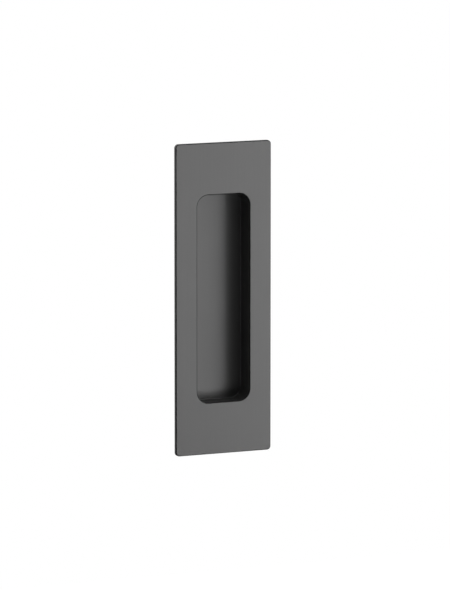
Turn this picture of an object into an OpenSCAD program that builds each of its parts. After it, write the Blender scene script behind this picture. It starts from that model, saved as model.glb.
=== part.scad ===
// Recessed pull for a sliding door: a thin face plate with a finger cup behind it, machined as one piece.
// The plate's back lies on the door's face, in the plane y = 0, around the origin.
// The front looks along -y, the cup reaches into the door along +y, and +z is up.

/* [Face plate] */
// Width of the face plate
plate_w = 40; // [38:1:60]
// Height of the face plate
plate_h = 120; // [110:1:200]
// Thickness of the face plate, which stands in front of the door
plate_t = 1.5; // [1.2:0.1:4]
// Radius of the plate's four corners, seen from the front
plate_corner_r = 1.5; // [1.2:0.1:8]
// Rounding of the edge round the plate's front
plate_edge_r = 0.3; // [0.2:0.1:1]

/* [Finger recess] */
// Width of the recess, between its side walls
recess_w = 22; // [16:0.5:28]
// Height of the recess, between its top and bottom walls
recess_h = 80; // [50:1:90]
// Depth of the recess, from the plate's front to the floor
recess_depth = 8; // [6:0.5:14]
// Radius of the recess's four corners, seen from the front
recess_corner_r = 4.5; // [3:0.5:7]
// Rounding of the edge round the recess's mouth
mouth_edge_r = 0.4; // [0.1:0.1:0.8]
// Fillet where the recess's walls meet its floor
floor_fillet_r = 0.3; // [0.2:0.1:1.5]

/* [Cup] */
// Thickness of the cup's walls, round the recess
cup_wall = 1.5; // [1:0.1:3]
// Thickness of the cup's floor, behind the recess
cup_floor = 1.5; // [1:0.1:3]
// Rounding of the edge round the cup's back, which leads it into its pocket
cup_edge_r = 0.8; // [0.3:0.1:1.5]
// Fillet where the cup's outside meets the plate's back
root_fillet_r = 0.4; // [0.2:0.1:0.8]

/* [Hidden] */
$fn = 96;
// How far a shape runs into what it is joined to, and a cut past the face that it opens
overlap = 0.5;
// The cup's outside follows the recess, one wall further out
cup_w = recess_w + 2 * cup_wall;
cup_h = recess_h + 2 * cup_wall;
cup_corner_r = recess_corner_r + cup_wall;
// How far the cup reaches into the door, behind the plate's back
cup_reach = recess_depth + cup_floor - plate_t;

// Runs a section, its child, round a w by h rectangle with corners of radius r.
// The section's x counts outwards from the centres of the corners, and its y is height.
module run_round(w, h, r) {
    straight = [w - 2 * r, h - 2 * r];
    for (quarter = [0:3]) {
        across = straight[quarter % 2];
        along = straight[(quarter + 1) % 2];
        rotate([0, 0, 90 * quarter])
        translate([across / 2, along / 2, 0]) {
            rotate_extrude(angle = 90) children();
            rotate([90, 0, 0]) linear_extrude(along) children();
        }
    }
}

// Section of a block's rim, reach wide and t high, with its outer upper edge rounded.
module rounded_section(reach, t, edge_r) {
    square([reach - edge_r, t]);
    square([reach, t - edge_r]);
    translate([reach - edge_r, t - edge_r]) circle(edge_r);
}

// Section of the corner that a fillet fills, from the point x = start on the plane y = 0.
// It also runs below that plane, into what it is joined to or past what it is cut from.
module fillet_section(start, fillet_r, below) {
    translate([start, -below])
    difference() {
        square([fillet_r, fillet_r + below]);
        translate([fillet_r, fillet_r + below]) circle(fillet_r);
    }
}

// A block on the plane z = 0 with rounded corners and a rounded upper edge.
module rounded_block(w, h, t, corner_r, edge_r) {
    translate([corner_r - w / 2, corner_r - h / 2, 0])
    cube([w - 2 * corner_r, h - 2 * corner_r, t]);
    run_round(w, h, corner_r) rounded_section(corner_r, t, edge_r);
}

// The face plate without its recess, with its back on z = 0 and its front up.
module face_plate() {
    rounded_block(plate_w, plate_h, plate_t, plate_corner_r, plate_edge_r);
}

// A block that hangs below the plane z = 0, with a fillet round it where it meets that plane.
module hanging_block(w, h, depth, corner_r, edge_r, fillet_r) {
    mirror([0, 0, 1]) {
        translate([0, 0, -overlap])
        rounded_block(w, h, depth + overlap, corner_r, edge_r);
        run_round(w, h, corner_r) fillet_section(corner_r, fillet_r, overlap);
    }
}

// The outside of the cup, rooted in the back of the face plate.
module cup_outside() {
    hanging_block(cup_w, cup_h, cup_reach, cup_corner_r, cup_edge_r, root_fillet_r);
}

// The space that the fingers reach into, cut from the plate's front down to the cup's floor.
module finger_recess() {
    translate([0, 0, plate_t])
    hanging_block(recess_w, recess_h, recess_depth, recess_corner_r, floor_fillet_r, mouth_edge_r);
}

// The whole pull, stood up with its front towards -y.
module pull_body() {
    color("dimgray")
    rotate([90, 0, 0])
    difference() {
        union() {
            face_plate();
            cup_outside();
        }
        finger_recess();
    }
}

pull_body();
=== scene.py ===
"""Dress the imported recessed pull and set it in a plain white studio.

The pull is one piece of dark brushed metal: a thin face plate with a finger recess in its middle and the
back of the recess, the cup, behind it. Its surface follows one rule, so one node tree lofts it from a
section. Each point of the section carries a ring round the pull, and each ring is a rectangle with round
corners. The sizes come from the frame where the frame has them, and are otherwise those of the part.

All lengths are in metres. The origin is the middle of the plate's back, the front faces -Y and +Z is up.
"""

import logging
import math
from dataclasses import dataclass, field
from enum import Enum
from typing import Any, Optional, Union

import bpy
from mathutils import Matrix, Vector


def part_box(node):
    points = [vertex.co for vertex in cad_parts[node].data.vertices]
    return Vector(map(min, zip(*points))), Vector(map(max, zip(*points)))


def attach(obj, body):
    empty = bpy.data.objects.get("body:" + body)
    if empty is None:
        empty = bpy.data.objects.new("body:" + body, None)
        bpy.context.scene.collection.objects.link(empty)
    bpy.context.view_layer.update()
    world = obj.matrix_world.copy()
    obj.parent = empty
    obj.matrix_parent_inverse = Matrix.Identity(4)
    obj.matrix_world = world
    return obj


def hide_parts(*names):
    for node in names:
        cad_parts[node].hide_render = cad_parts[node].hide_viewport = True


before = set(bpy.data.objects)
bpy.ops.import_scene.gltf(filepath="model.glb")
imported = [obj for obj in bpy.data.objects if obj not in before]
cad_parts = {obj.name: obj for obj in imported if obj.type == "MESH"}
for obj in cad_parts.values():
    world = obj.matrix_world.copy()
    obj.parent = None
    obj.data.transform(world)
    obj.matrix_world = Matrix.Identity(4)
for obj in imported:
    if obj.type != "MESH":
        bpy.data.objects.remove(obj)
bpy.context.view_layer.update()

NODE = "pull_body"
MM = 0.001
QUARTER_TURN = math.pi / 2
RING_CORNERS = 4
WHITE = (1.0, 1.0, 1.0, 1.0)

# A noise's middle, and how far from it the noise mostly reaches
NOISE_MIDDLE = 0.5
NOISE_REACH = 0.25

# How many finer layers the lines and the patches hold, and how strong those of the lines are
LINE_DETAIL = 2.0
LINE_ROUGHNESS = 0.6
PATCH_DETAIL = 3.0

logging.basicConfig(level=logging.INFO, format="%(message)s")
log = logging.getLogger("pull")

Socket = bpy.types.NodeSocket
Outputs = bpy.types.NodeOutputs
Value = Union[float, int, bool, str, tuple, Socket]


class Tree:
    """Builds one node tree, step by step, with each step's inputs given by name or number."""

    def __init__(self, tree: bpy.types.NodeTree) -> None:
        """Start on the node tree to add nodes to."""
        self.tree = tree

    def add(self, kind: str, inputs: dict[Union[str, int], Value], **settings: Any) -> bpy.types.Node:
        """Add a node.

        Args:
            kind: the node's type name.
            inputs: what each input takes, which is a plain value or another node's output.
            settings: the node's own properties, such as its operation.

        Returns:
            The new node.
        """
        node = self.tree.nodes.new(kind)
        for name, value in settings.items():
            setattr(node, name, value)
        for key, value in inputs.items():
            self.feed(node.inputs[key], value)
        return node

    def feed(self, socket: Socket, value: Value) -> None:
        """Link or set one input.

        Args:
            socket: the input.
            value: a plain value, or the output to link to it.
        """
        if isinstance(value, bpy.types.NodeSocket):
            self.tree.links.new(value, socket)
        else:
            socket.default_value = value

    def math(self, operation: str, first: Value, second: Value = 0.0) -> Socket:
        """Return the output of a Math node on one or two values."""
        node = self.add("ShaderNodeMath", {0: first, 1: second}, operation=operation)
        return node.outputs[0]

    def whole(self, operation: str, first: Value, second: Value) -> Socket:
        """Return the output of an Integer Math node on two whole numbers."""
        node = self.add("FunctionNodeIntegerMath", {0: first, 1: second}, operation=operation)
        return node.outputs[0]

    def vector(self, x: Value, y: Value, z: Value) -> Socket:
        """Return a vector put together from its three parts."""
        return self.add("ShaderNodeCombineXYZ", {0: x, 1: y, 2: z}).outputs[0]

    def group(self, group: bpy.types.NodeTree, inputs: dict[str, Value]) -> Socket:
        """Place a shader group and return its first output."""
        return self.add("ShaderNodeGroup", inputs, node_tree=group).outputs[0]

    def parts(self, vector: Value) -> tuple[Socket, Socket, Socket]:
        """Return the three parts of a vector."""
        node = self.add("ShaderNodeSeparateXYZ", {0: vector})
        return node.outputs[0], node.outputs[1], node.outputs[2]

    def store(self, name: str, geometry: Socket, value: Value, data_type: str = "FLOAT") -> Socket:
        """Store a value on each point of a geometry.

        Args:
            name: the name to store it under.
            geometry: the geometry to store it on.
            value: the value, which may differ from point to point.
            data_type: the type of the value.

        Returns:
            The geometry with the value stored.
        """
        node = self.add(
            "GeometryNodeStoreNamedAttribute",
            {"Geometry": geometry, "Name": name, "Value": value},
            data_type=data_type,
        )
        return node.outputs[0]

    def named(self, name: str, data_type: str = "FLOAT") -> Socket:
        """Return what each point of a geometry holds under a name."""
        node = self.add("GeometryNodeInputNamedAttribute", {"Name": name}, data_type=data_type)
        return node.outputs[0]

    def choose(self, data_type: str, index: Value, items: list[Value]) -> Socket:
        """Pick one of several items by number.

        Args:
            data_type: the type of the items, such as "FLOAT" or "VECTOR".
            index: the number of the item to pick, counted from 0.
            items: the items.

        Returns:
            The picked item.
        """
        node = self.tree.nodes.new("GeometryNodeIndexSwitch")
        node.data_type = data_type
        while len(node.index_switch_items) < len(items):
            node.index_switch_items.new()
        self.feed(node.inputs[0], index)
        for place, item in enumerate(items, start=1):
            self.feed(node.inputs[place], item)
        return node.outputs[0]


@dataclass(frozen=True)
class Corner:
    """One corner of the pull's section, before it is rounded.

    Its x runs outwards from the pull's middle and its y into the door. The centre is that of its ring's
    corner arcs. Plain is a mark for the finish and dark a mark of painted shade, both from 0 to 1, and dark
    holds only inside the corner's rounding, whose colour it darkens to stand in for the dark it reflects.
    """

    x: Value
    y: Value
    radius: Value
    centre: Socket
    plain: float = 0.0
    # dark marks painted shade: the roundings it covers are darkened to stand in for the dark they reflect
    dark: float = 0.0


@dataclass
class PullBody:
    """The whole pull: face plate, finger recess and cup, in one piece.

    The outer box comes from the frame. The other sizes are those of the part.
    """

    plate_w: float
    plate_h: float
    plate_t: float
    depth: float
    plate_corner_r: float = 1.5 * MM
    plate_edge_r: float = 0.3 * MM
    recess_w: float = 22 * MM
    recess_h: float = 80 * MM
    recess_corner_r: float = 4.5 * MM
    mouth_edge_r: float = 0.4 * MM
    floor_fillet_r: float = 0.3 * MM
    cup_wall: float = 1.5 * MM
    cup_floor: float = 1.5 * MM
    cup_edge_r: float = 0.8 * MM
    root_fillet_r: float = 0.4 * MM
    corner_steps: int = 24
    edge_steps: int = 8
    sharp_degrees: float = 60.0
    merge_distance: float = 0.001 * MM
    sockets: dict[str, str] = field(default_factory=dict)

    @classmethod
    def from_frame(cls) -> "PullBody":
        """Return the pull with its outer box read from the frame."""
        low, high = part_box(NODE)
        return cls(plate_w=high.x - low.x, plate_h=high.z - low.z, plate_t=-low.y, depth=high.y)

    def build(self, finish: bpy.types.Material) -> bpy.types.Object:
        """Make the pull's mesh.

        Args:
            finish: the material that the whole pull wears.

        Returns:
            The finished object, with its place in its mesh.
        """
        start = bpy.data.objects.new("pull_shape", bpy.data.meshes.new("pull_shape"))
        bpy.context.scene.collection.objects.link(start)
        loft = start.modifiers.new("loft", "NODES")
        loft.node_group = self.loft_tree()
        for name, value in self.tree_values(finish).items():
            loft[self.sockets[name]] = value
        weighted = start.modifiers.new("flat_faces_stay_flat", "WEIGHTED_NORMAL")
        weighted.keep_sharp = True
        graph = bpy.context.evaluated_depsgraph_get()
        mesh = bpy.data.meshes.new_from_object(start.evaluated_get(graph), depsgraph=graph)
        bpy.data.objects.remove(start)
        mesh.materials.pop(index=0)  # the empty slot that the grids bring
        mesh.name = "pull"
        body = bpy.data.objects.new("pull", mesh)
        bpy.context.scene.collection.objects.link(body)
        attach(body, "root")
        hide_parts(NODE)
        return body

    def tree_values(self, finish: Optional[bpy.types.Material]) -> dict[str, Any]:
        """Name the inputs of the loft and what each takes.

        Args:
            finish: the material that the whole pull wears, or None where only the names are needed.

        Returns:
            The value of each input, by its name.
        """
        return {
            "Plate Width": self.plate_w,
            "Plate Height": self.plate_h,
            "Plate Thickness": self.plate_t,
            "Plate Corner Radius": self.plate_corner_r,
            "Plate Edge Radius": self.plate_edge_r,
            "Recess Width": self.recess_w,
            "Recess Height": self.recess_h,
            "Recess Corner Radius": self.recess_corner_r,
            "Mouth Edge Radius": self.mouth_edge_r,
            "Floor Fillet Radius": self.floor_fillet_r,
            "Depth Behind Plate": self.depth,
            "Cup Wall": self.cup_wall,
            "Cup Floor": self.cup_floor,
            "Cup Edge Radius": self.cup_edge_r,
            "Root Fillet Radius": self.root_fillet_r,
            "Corner Steps": self.corner_steps,
            "Edge Steps": self.edge_steps,
            "Finish": finish,
        }

    def loft_tree(self) -> bpy.types.NodeTree:
        """Build the node tree that lofts the pull from its section.

        Returns:
            The tree, whose inputs are the names in tree_values.
        """
        group = bpy.data.node_groups.new("pull_loft", "GeometryNodeTree")
        for name in self.tree_values(None):
            kind = {"Corner Steps": "Int", "Edge Steps": "Int", "Finish": "Material"}.get(name, "Float")
            socket = group.interface.new_socket(name, in_out="INPUT", socket_type="NodeSocket" + kind)
            self.sockets[name] = socket.identifier
        group.interface.new_socket("Pull", in_out="OUTPUT", socket_type="NodeSocketGeometry")
        tree = Tree(group)
        given = tree.add("NodeGroupInput", {}).outputs
        section = self.section(tree, given)
        skin = self.rings(tree, given, section)
        closed = self.close_flats(tree, given, skin)
        smooth = tree.add("GeometryNodeSetShadeSmooth", {"Geometry": closed}).outputs[0]
        angle = tree.add("GeometryNodeInputMeshEdgeAngle", {}).outputs["Unsigned Angle"]
        sharp = tree.math("GREATER_THAN", angle, math.radians(self.sharp_degrees))
        creased = tree.add(
            "GeometryNodeSetShadeSmooth",
            {"Geometry": smooth, "Selection": sharp, "Shade Smooth": False},
            domain="EDGE",
        ).outputs[0]
        real = tree.add("GeometryNodeRealizeInstances", {"Geometry": creased}).outputs[0]
        dressed = tree.add("GeometryNodeSetMaterial", {"Geometry": real, "Material": given["Finish"]})
        tree.add("NodeGroupOutput", {0: dressed.outputs[0]})
        return group

    @staticmethod
    def flats(tree: Tree, given: Outputs) -> dict[str, Socket]:
        """Work out the half widths, the depths and the corner centres that the section uses.

        Args:
            tree: the tree to add to.
            given: the tree's inputs.

        Returns:
            Each measure by its name, where inner is round the recess and outer round the plate.
        """
        plate_x = tree.math("MULTIPLY", given["Plate Width"], 0.5)
        plate_z = tree.math("MULTIPLY", given["Plate Height"], 0.5)
        recess_x = tree.math("MULTIPLY", given["Recess Width"], 0.5)
        recess_z = tree.math("MULTIPLY", given["Recess Height"], 0.5)
        plate_r, recess_r = given["Plate Corner Radius"], given["Recess Corner Radius"]
        return {
            "plate_x": plate_x,
            "recess_x": recess_x,
            "cup_x": tree.math("ADD", recess_x, given["Cup Wall"]),
            "front_y": tree.math("MULTIPLY", given["Plate Thickness"], -1.0),
            "back_y": given["Depth Behind Plate"],
            "floor_y": tree.math("SUBTRACT", given["Depth Behind Plate"], given["Cup Floor"]),
            "inner_x": tree.math("SUBTRACT", recess_x, recess_r),
            "inner_z": tree.math("SUBTRACT", recess_z, recess_r),
            "outer_x": tree.math("SUBTRACT", plate_x, plate_r),
            "outer_z": tree.math("SUBTRACT", plate_z, plate_r),
        }

    def section(self, tree: Tree, given: Outputs) -> Socket:
        """Draw the section from the cup's back, round the plate's edge, to the recess's floor.

        Args:
            tree: the tree to add to.
            given: the tree's inputs.

        Returns:
            A curve whose points hold corner_centre, the centre of their ring's corner arcs, plain_back, a
            mark for the finish on the hidden side, and a mark of painted shade on the roundings of the
            front.
        """
        at = self.flats(tree, given)
        inner = tree.vector(at["inner_x"], 0.0, at["inner_z"])
        outer = tree.vector(at["outer_x"], 0.0, at["outer_z"])
        corners = [
            Corner(at["inner_x"], at["back_y"], 0.0, inner, plain=1.0),
            Corner(at["cup_x"], at["back_y"], given["Cup Edge Radius"], inner, plain=1.0),
            Corner(at["cup_x"], 0.0, given["Root Fillet Radius"], inner, plain=1.0),
            Corner(at["plate_x"], 0.0, 0.0, outer, plain=1.0),
            # The plate's edge and the mouth's edge get painted shade on their roundings
            Corner(at["plate_x"], at["front_y"], given["Plate Edge Radius"], outer, dark=1.0),
            Corner(at["recess_x"], at["front_y"], given["Mouth Edge Radius"], inner, dark=1.0),
            Corner(at["recess_x"], at["floor_y"], given["Floor Fillet Radius"], inner),
            Corner(at["inner_x"], at["floor_y"], 0.0, inner),
        ]
        number = tree.add("GeometryNodeInputIndex", {}).outputs[0]
        line = tree.add("GeometryNodeMeshLine", {"Count": len(corners)}).outputs[0]
        places = [tree.vector(corner.x, corner.y, 0.0) for corner in corners]
        placed = tree.add(
            "GeometryNodeSetPosition",
            {"Geometry": line, "Position": tree.choose("VECTOR", number, places)},
        ).outputs[0]
        centres = tree.choose("VECTOR", number, [corner.centre for corner in corners])
        centred = tree.store("corner_centre", placed, centres, "FLOAT_VECTOR")
        plain = tree.choose("FLOAT", number, [corner.plain for corner in corners])
        # Where the painted shade goes: the roundings of the front
        dark = tree.choose("FLOAT", number, [corner.dark for corner in corners])
        marked = tree.store("painted_shade_edge", tree.store("plain_back", centred, plain), dark)
        numbered = tree.store("corner_number", marked, number)
        curve = tree.add("GeometryNodeMeshToCurve", {"Mesh": numbered}).outputs[0]
        rounded = tree.add(
            "GeometryNodeFilletCurve",
            {
                "Curve": curve,
                "Count": given["Edge Steps"],
                "Radius": tree.choose("FLOAT", number, [corner.radius for corner in corners]),
            },
            mode="POLY",
        ).outputs[0]
        # The painted shade is kept inside each rounding's arc
        inside = self.inside_arc(tree, rounded)
        return tree.store("painted_shade_edge", rounded, tree.math("MULTIPLY", inside, tree.named("painted_shade_edge")))

    @staticmethod
    def inside_arc(tree: Tree, section: Socket) -> Socket:
        """Tell the points inside a corner's arc from the points at its two ends.

        Args:
            tree: the tree to add to.
            section: the rounded section, whose points hold corner_number, the number of their corner.

        Returns:
            A field that is 1 where the points before and after belong to one corner, and 0 elsewhere.
        """
        number = tree.add("GeometryNodeInputIndex", {}).outputs[0]
        corner = tree.named("corner_number")
        before, after = (
            tree.add(
                "GeometryNodeSampleIndex",
                {"Geometry": section, "Value": corner, "Index": tree.whole("ADD", number, step)},
            ).outputs[0]
            for step in (-1, 1)
        )
        return tree.math("COMPARE", before, after)

    @staticmethod
    def rings(tree: Tree, given: Outputs, section: Socket) -> Socket:
        """Give each point of the section a ring with round corners, and join the rings.

        Args:
            tree: the tree to add to.
            given: the tree's inputs.
            section: the section's curve.

        Returns:
            The pull's skin, open at the flat middle of its back and of its floor.
        """
        per_corner = tree.whole("ADD", given["Corner Steps"], 1)
        # The last column lies on the first one and closes the ring
        columns = tree.whole("ADD", tree.whole("MULTIPLY", per_corner, RING_CORNERS), 1)
        size = tree.add("GeometryNodeAttributeDomainSize", {"Geometry": section}, component="CURVE")
        grid = tree.add(
            "GeometryNodeMeshGrid",
            {"Vertices X": size.outputs["Point Count"], "Vertices Y": columns},
        ).outputs["Mesh"]
        number = tree.add("GeometryNodeInputIndex", {}).outputs[0]
        ring = tree.whole("DIVIDE_FLOOR", number, columns)
        column = tree.whole("MODULO", number, columns)
        corner = tree.whole("DIVIDE_FLOOR", column, per_corner)
        step = tree.whole("MODULO", column, per_corner)

        def sampled(value: Socket, data_type: str = "FLOAT_VECTOR") -> Socket:
            """Return what this ring's point of the section holds.

            Args:
                value: the value to read on the section.
                data_type: the type of the value.

            Returns:
                The value, the same all round the ring.
            """
            node = tree.add(
                "GeometryNodeSampleIndex",
                {"Geometry": section, "Value": value, "Index": ring},
                data_type=data_type,
            )
            return node.outputs[0]

        half_width, depth, _ = tree.parts(sampled(tree.add("GeometryNodeInputPosition", {}).outputs[0]))
        centre_x, _, centre_z = tree.parts(sampled(tree.named("corner_centre", "FLOAT_VECTOR")))
        radius = tree.math("SUBTRACT", half_width, centre_x)
        turned = tree.math("ADD", corner, tree.math("DIVIDE", step, given["Corner Steps"]))
        angle = tree.math("MULTIPLY", turned, QUARTER_TURN)
        middle = tree.math("MULTIPLY", tree.math("ADD", corner, 0.5), QUARTER_TURN)
        side_x = tree.math("SIGN", tree.math("COSINE", middle))
        side_z = tree.math("SIGN", tree.math("SINE", middle))

        def along(side: Socket, centre: Socket, turn: str) -> Socket:
            """Return one coordinate of a ring's point: its corner's centre, plus its part of the radius."""
            reach = tree.math("MULTIPLY", radius, tree.math(turn, angle))
            return tree.math("ADD", tree.math("MULTIPLY", side, centre), reach)

        place = tree.vector(along(side_x, centre_x, "COSINE"), depth, along(side_z, centre_z, "SINE"))
        skin = tree.add("GeometryNodeSetPosition", {"Geometry": grid, "Position": place}).outputs[0]
        # Each ring takes its section point's finish mark and its mark of painted shade
        for name in ("plain_back", "painted_shade_edge"):
            skin = tree.store(name, skin, sampled(tree.named(name), "FLOAT"))
        return tree.add("GeometryNodeFlipFaces", {"Mesh": skin}).outputs[0]

    def close_flats(self, tree: Tree, given: Outputs, skin: Socket) -> Socket:
        """Close the flat middles of the cup's back and of the recess's floor.

        Args:
            tree: the tree to add to.
            given: the tree's inputs.
            skin: the skin, open at both middles.

        Returns:
            The closed skin, with its double points merged.
        """
        at = self.flats(tree, given)
        flat = tree.add(
            "GeometryNodeMeshGrid",
            {
                "Size X": tree.math("MULTIPLY", at["inner_x"], 2.0),
                "Size Y": tree.math("MULTIPLY", at["inner_z"], 2.0),
                "Vertices X": 2,
                "Vertices Y": 2,
            },
        ).outputs["Mesh"]
        pieces = [skin]
        for depth, quarter_turns, plain in ((at["floor_y"], 1, 0.0), (at["back_y"], -1, 1.0)):
            moved = tree.add(
                "GeometryNodeTransform",
                {
                    "Geometry": flat,
                    "Translation": tree.vector(0.0, depth, 0.0),
                    "Rotation": (quarter_turns * QUARTER_TURN, 0.0, 0.0),
                },
            )
            pieces.append(tree.store("plain_back", moved.outputs[0], plain))
        join = tree.add("GeometryNodeJoinGeometry", {})
        for piece in reversed(pieces):
            tree.feed(join.inputs[0], piece)
        merged = tree.add(
            "GeometryNodeMergeByDistance",
            {"Geometry": join.outputs[0], "Distance": self.merge_distance},
        )
        return merged.outputs[0]


def swing_group(name: str, inputs: dict[str, str]) -> tuple[bpy.types.NodeTree, Tree, Outputs]:
    """Start a shader group that puts out one pattern, which swings round 0, mostly between -1 and 1.

    Args:
        name: the group's name.
        inputs: the type of each input, by its name.

    Returns:
        The group, the tree to build in it and the group's inputs.
    """
    group = bpy.data.node_groups.new(name, "ShaderNodeTree")
    for socket, kind in inputs.items():
        group.interface.new_socket(socket, in_out="INPUT", socket_type="NodeSocket" + kind)
    group.interface.new_socket("Swing", in_out="OUTPUT", socket_type="NodeSocketFloat")
    tree = Tree(group)
    return group, tree, tree.add("NodeGroupInput", {}).outputs


def swing(tree: Tree, noise: bpy.types.Node) -> Socket:
    """Return a noise as a swing round 0, mostly between -1 and 1."""
    offset = tree.math("SUBTRACT", noise.outputs["Fac"], NOISE_MIDDLE)
    return tree.math("MULTIPLY", offset, 1 / NOISE_REACH)


def brushed_lines() -> bpy.types.NodeTree:
    """Build the group that draws the lines of brushing, which run along the pull's height.

    Returns:
        The group, with the place, the lines' width and their length as its inputs.
    """
    inputs = {"Place": "Vector", "Line Width": "Float", "Line Length": "Float"}
    group, tree, given = swing_group("brushed_lines", inputs)
    x, y, z = tree.parts(given["Place"])
    across = tree.math("DIVIDE", x, given["Line Width"])
    inwards = tree.math("DIVIDE", y, given["Line Width"])
    along = tree.math("DIVIDE", z, given["Line Length"])
    stretched = tree.vector(across, inwards, along)
    noise = tree.add(
        "ShaderNodeTexNoise",
        {"Vector": stretched, "Scale": 1.0, "Detail": LINE_DETAIL, "Roughness": LINE_ROUGHNESS},
    )
    tree.add("NodeGroupOutput", {0: swing(tree, noise)})
    return group


def soft_patches() -> bpy.types.NodeTree:
    """Build the group that draws the slow unevenness of a surface that has been handled.

    Returns:
        The group, with the place and the patches' size as its inputs.
    """
    group, tree, given = swing_group("soft_patches", {"Place": "Vector", "Patch Size": "Float"})
    scale = tree.math("DIVIDE", 1.0, given["Patch Size"])
    inputs = {"Vector": given["Place"], "Scale": scale, "Detail": PATCH_DETAIL}
    noise = tree.add("ShaderNodeTexNoise", inputs)
    tree.add("NodeGroupOutput", {0: swing(tree, noise)})
    return group


@dataclass(frozen=True)
class Weights:
    """How much each pattern of a finish moves one of its values.

    Fine and coarse are the brushed lines of two sizes, and patches is the slow unevenness. Plain holds on
    the hidden back, and dark is painted shade on the roundings of the front.
    """

    fine: float = 0.0
    coarse: float = 0.0
    patches: float = 0.0
    plain: float = 0.0
    # Weight of the painted shade on the roundings of the front
    dark: float = 0.0


@dataclass(frozen=True)
class BrushedMetal:
    """The dark metal of the whole pull.

    It is brushed along its height and plain on its hidden back. Its colour is darkened on the roundings of
    its front as painted shade, standing in for the dark that those roundings reflect. Each pair for the
    brushed lines is their width and their length, and the groove is the bump's depth.
    """

    name: str = "brushed_dark_metal"
    color: tuple[float, float, float] = (0.156, 0.156, 0.156)
    roughness: float = 0.56
    fine_line: tuple[float, float] = (0.08 * MM, 12 * MM)
    coarse_line: tuple[float, float] = (0.45 * MM, 50 * MM)
    patch_size: float = 14 * MM
    groove: float = 0.0004 * MM
    # dark=-0.8 is painted shade, darkening the front's roundings to about a fifth of the metal's colour
    tone: Weights = Weights(fine=0.03, coarse=0.025, patches=0.012, plain=-0.06, dark=-0.8)
    roughness_moves: Weights = Weights(fine=0.02, coarse=0.01, patches=0.015, plain=0.06)

    def material(self) -> bpy.types.Material:
        """Build the finish.

        Returns:
            The material, whose patterns stay with the metal.
        """
        material = bpy.data.materials.new(self.name)
        material.use_nodes = True
        shader = material.node_tree.nodes["Principled BSDF"]
        shader.inputs["Metallic"].default_value = 1.0
        tree = Tree(material.node_tree)
        place = tree.add("ShaderNodeTexCoord", {}).outputs["Object"]
        plain = tree.add("ShaderNodeAttribute", {}, attribute_name="plain_back").outputs["Fac"]
        # This mark carries painted shade onto the roundings of the front
        dark = tree.add("ShaderNodeAttribute", {}, attribute_name="painted_shade_edge").outputs["Fac"]
        brushed = tree.math("SUBTRACT", 1.0, plain)
        lines = brushed_lines()
        patterns = {"plain": plain, "dark": dark}
        for name, (width, length) in (("fine", self.fine_line), ("coarse", self.coarse_line)):
            inputs = {"Place": place, "Line Width": width, "Line Length": length}
            patterns[name] = tree.math("MULTIPLY", brushed, tree.group(lines, inputs))
        patterns["patches"] = tree.group(soft_patches(), {"Place": place, "Patch Size": self.patch_size})
        tone = self.moved(tree, 1.0, self.tone, patterns)
        color = tree.add("ShaderNodeVectorMath", {0: self.color, "Scale": tone}, operation="SCALE")
        tree.feed(shader.inputs["Base Color"], color.outputs[0])
        roughness = self.moved(tree, self.roughness, self.roughness_moves, patterns)
        tree.feed(shader.inputs["Roughness"], roughness)
        bump = tree.add("ShaderNodeBump", {"Distance": self.groove, "Height": patterns["fine"]})
        tree.feed(shader.inputs["Normal"], bump.outputs["Normal"])
        return material

    @staticmethod
    def moved(tree: Tree, start: float, weights: Weights, patterns: dict[str, Socket]) -> Value:
        """Move a value by each pattern's weight.

        Args:
            tree: the tree to add to.
            start: the value where all patterns are 0.
            weights: how much each pattern moves it.
            patterns: the patterns, by the names of their weights.

        Returns:
            The moved value.
        """
        value = start
        for name, pattern in patterns.items():
            value = tree.math("ADD", value, tree.math("MULTIPLY", pattern, getattr(weights, name)))
        return value


def bare_material(name: str) -> tuple[bpy.types.Material, Tree]:
    """Make a material that has no nodes yet.

    Args:
        name: the material's name.

    Returns:
        The material and the tree to build in it.
    """
    material = bpy.data.materials.new(name)
    material.use_nodes = True
    material.node_tree.nodes.clear()
    return material, Tree(material.node_tree)


def stage_sheet(
    name: str, width: float, height: float, z: float, material: bpy.types.Material
) -> bpy.types.Object:
    """Make a flat rectangle that belongs to the studio and not to the pull.

    Args:
        name: the name of the sheet and of its mesh.
        width: its size along X.
        height: its size along Y.
        z: where it lies along Z, in its mesh.
        material: what it wears.

    Returns:
        The sheet.
    """
    half_w, half_h = width / 2, height / 2
    corners = [(-half_w, -half_h, z), (half_w, -half_h, z), (half_w, half_h, z), (-half_w, half_h, z)]
    mesh = bpy.data.meshes.new(name)
    mesh.from_pydata(corners, [], [(0, 1, 2, 3)])
    mesh.materials.append(material)
    sheet = bpy.data.objects.new(name, mesh)
    bpy.context.scene.collection.objects.link(sheet)
    return sheet


def direction(azimuth: float, elevation: float) -> Vector:
    """Return the direction from the pull that an azimuth and an elevation name, in degrees."""
    turn, rise = math.radians(azimuth), math.radians(elevation)
    return Vector((math.sin(turn) * math.cos(rise), -math.cos(turn) * math.cos(rise), math.sin(rise)))


class CardRole(Enum):
    """What a card in the studio does."""

    LIGHT = "gives soft light"
    FLAG = "keeps the light out"


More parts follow.
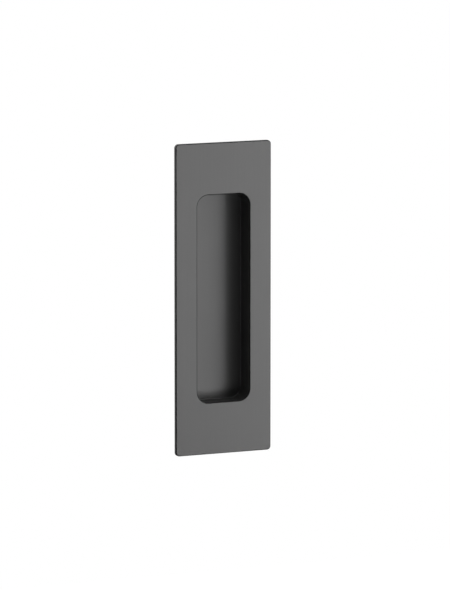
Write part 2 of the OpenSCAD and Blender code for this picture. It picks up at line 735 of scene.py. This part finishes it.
@dataclass(frozen=True)
class Card:
    """A flat card in the studio, which faces the pull from a distance.

    An azimuth of 0 degrees is straight in front of the pull and 90 degrees is to its right. The level is
    the brightness of the card's face, where 1 is white.
    """

    name: str
    role: CardRole
    azimuth: float
    elevation: float
    distance: float
    width: float
    height: float
    level: float

    def build(self) -> bpy.types.Object:
        """Make the card and place it.

        Returns:
            The card, which the camera doesn't see.
        """
        card = self.light() if self.role is CardRole.LIGHT else self.flag()
        away = direction(self.azimuth, self.elevation)
        card.location = away * self.distance
        card.rotation_euler = away.to_track_quat("Z", "Y").to_euler()
        card.visible_camera = False
        return card

    def light(self) -> bpy.types.Object:
        """Make the card as a soft light.

        Returns:
            The lamp, whose power gives its face the card's level.
        """
        data = bpy.data.lights.new(self.name, "AREA")
        data.shape = "RECTANGLE"
        data.size = self.width
        data.size_y = self.height
        data.energy = self.level * math.pi * self.width * self.height
        lamp = bpy.data.objects.new(self.name, data)
        bpy.context.scene.collection.objects.link(lamp)
        return lamp

    def flag(self) -> bpy.types.Object:
        """Make the card as a dark flag.

        Returns:
            The flag, which shows in the metal alone.
        """
        material, tree = bare_material(self.name)
        cloth = tree.add("ShaderNodeEmission", {"Color": WHITE, "Strength": self.level})
        tree.add("ShaderNodeOutputMaterial", {"Surface": cloth.outputs[0]})
        card = stage_sheet(self.name, self.width, self.height, 0.0, material)
        card.visible_diffuse = False
        return card


@dataclass
class Studio:
    """The plain white studio: camera, white surround, floor, one soft light and dark flags.

    The aim is how far the picture's middle lies to the right of the middle of the pull's front, and above
    it. The floor's shade is the share of light that it gives back, and its glow is added only where the
    camera, metal or glass shows it.
    """

    focal_mm: float = 304.0
    sensor_mm: float = 36.0
    distance: float = 1.937
    azimuth: float = -25.0
    elevation: float = 8.0
    aim: tuple[float, float] = (0.505 * MM, -0.62 * MM)
    front_y: float = -1.5 * MM
    floor_z: float = -1.4
    floor_size: float = 12.0
    floor_shade: float = 0.8
    floor_glow: float = 0.5
    cards: tuple[Card, ...] = (
        Card(
            name="softbox",
            role=CardRole.LIGHT,
            azimuth=55.0,
            elevation=-40.0,
            distance=1.0,
            width=0.7,
            height=1.5,
            level=8.5,
        ),
        Card(
            name="front_flag",
            role=CardRole.FLAG,
            azimuth=-20.0,
            elevation=18.0,
            distance=1.2,
            width=2.7,
            height=1.9,
            level=0.03,
        ),
        Card(
            name="back_flag",
            role=CardRole.FLAG,
            azimuth=-145.0,
            elevation=-20.0,
            distance=1.1,
            width=1.3,
            height=1.0,
            level=0.12,
        ),
        Card(
            name="low_flag",
            role=CardRole.FLAG,
            azimuth=0.0,
            elevation=-90.0,
            distance=0.29,
            width=1.8,
            height=1.0,
            level=0.0,
        ),
    )

    def build(self) -> None:
        """Set up the whole studio."""
        self.camera()
        self.surround()
        self.floor()
        for card in self.cards:
            card.build()
            log.info("%s: %s", card.name, card.role.value)

    def camera(self) -> bpy.types.Object:
        """Place the camera where the photograph was taken from.

        Returns:
            The camera, which is the scene's.
        """
        back = direction(self.azimuth, self.elevation)
        turn = math.radians(self.azimuth)
        right = Vector((math.cos(turn), math.sin(turn), 0.0))
        up = back.cross(right)
        data = bpy.data.cameras.new("camera")
        data.sensor_fit = "VERTICAL"
        data.sensor_height = self.sensor_mm
        data.lens = self.focal_mm
        camera = bpy.data.objects.new("camera", data)
        bpy.context.scene.collection.objects.link(camera)
        aim = Vector((0.0, self.front_y, 0.0)) + right * self.aim[0] + up * self.aim[1]
        camera.location = aim + back * self.distance
        camera.rotation_mode = "QUATERNION"
        camera.rotation_quaternion = (-back).to_track_quat("-Z", "Y")
        bpy.context.scene.camera = camera
        return camera

    @staticmethod
    def seen(tree: Tree) -> Socket:
        """Mark the rays that show the floor: the camera's, those off metal and those through glass.

        Args:
            tree: the tree to add to.

        Returns:
            A value that is 1 for those rays and 0 for the others.
        """
        path = tree.add("ShaderNodeLightPath", {}).outputs
        mirrored = tree.math("MAXIMUM", path["Is Glossy Ray"], path["Is Transmission Ray"])
        return tree.math("MAXIMUM", path["Is Camera Ray"], mirrored)

    @staticmethod
    def surround() -> None:
        """Surround the pull with plain white."""
        world = bpy.data.worlds.new("white_surround")
        bpy.context.scene.world = world
        world.use_nodes = True
        world.node_tree.nodes.clear()
        tree = Tree(world.node_tree)
        white = tree.add("ShaderNodeBackground", {"Color": WHITE, "Strength": 1.0})
        tree.add("ShaderNodeOutputWorld", {"Surface": white.outputs[0]})

    def floor(self) -> bpy.types.Object:
        """Lay the pale floor, which keeps the pull's shadow and looks as white as the surround.

        Returns:
            The floor.
        """
        material, tree = bare_material("pale_floor")
        shade = (self.floor_shade, self.floor_shade, self.floor_shade, 1.0)
        matt = tree.add("ShaderNodeBsdfDiffuse", {"Color": shade})
        glow_level = tree.math("MULTIPLY", self.seen(tree), self.floor_glow)
        glow = tree.add("ShaderNodeEmission", {"Strength": glow_level})
        both = tree.add("ShaderNodeAddShader", {0: matt.outputs[0], 1: glow.outputs[0]})
        tree.add("ShaderNodeOutputMaterial", {"Surface": both.outputs[0]})
        return stage_sheet("floor", self.floor_size, self.floor_size, self.floor_z, material)


def main() -> None:
    """Build the pull and its studio in order, and log the pull's number of faces."""
    bpy.context.scene.view_settings.view_transform = "Standard"
    body = PullBody.from_frame().build(BrushedMetal().material())
    log.info("%s: %d faces", body.name, len(body.data.polygons))
    Studio().build()


if __name__ == "__main__":
    main()
